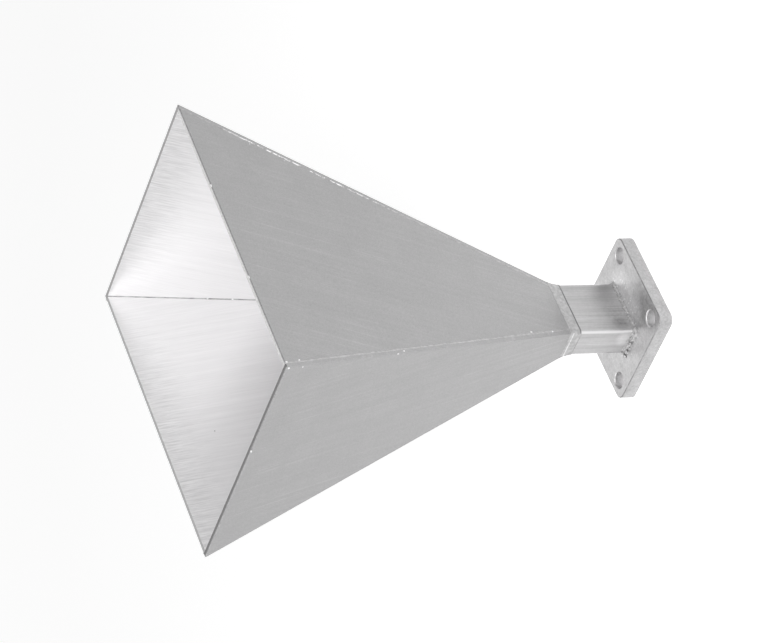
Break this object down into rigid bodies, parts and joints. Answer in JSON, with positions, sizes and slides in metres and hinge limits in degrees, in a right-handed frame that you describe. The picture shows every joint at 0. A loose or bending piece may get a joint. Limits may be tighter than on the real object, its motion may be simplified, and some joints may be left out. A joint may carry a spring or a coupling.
{
  "type": "horn antenna",
  "caption": "Pyramidal horn antenna of brazed aluminium panels on a short rectangular waveguide with a square cover flange.",
  "frame": {"origin": "centre of the flange's mating face, which the horn stands on", "axes": "+Z along the horn's axis to its mouth, X along the waveguide's broad side, Y along its narrow side"},
  "size_m": [0.0646, 0.0502, 0.0911],
  "materials": {
    "panel_sheet": "brushed",
    "drawn_tube": "drawn satin",
    "flange_plate": "grainy satin",
    "braze": "grainy, filed"
  },
  "bodies": {
    "root": {"flange": "flange_plate", "waveguide_tube": "drawn_tube", "broad_panel_front": "panel_sheet", "broad_panel_rear": "panel_sheet", "narrow_panel_left": "panel_sheet", "narrow_panel_right": "panel_sheet", "corner_braze_front_left": "braze", "corner_braze_front_right": "braze", "corner_braze_rear_left": "braze", "corner_braze_rear_right": "braze", "throat_braze": "braze", "flange_braze": "braze"}
  },
  "joints": []
}
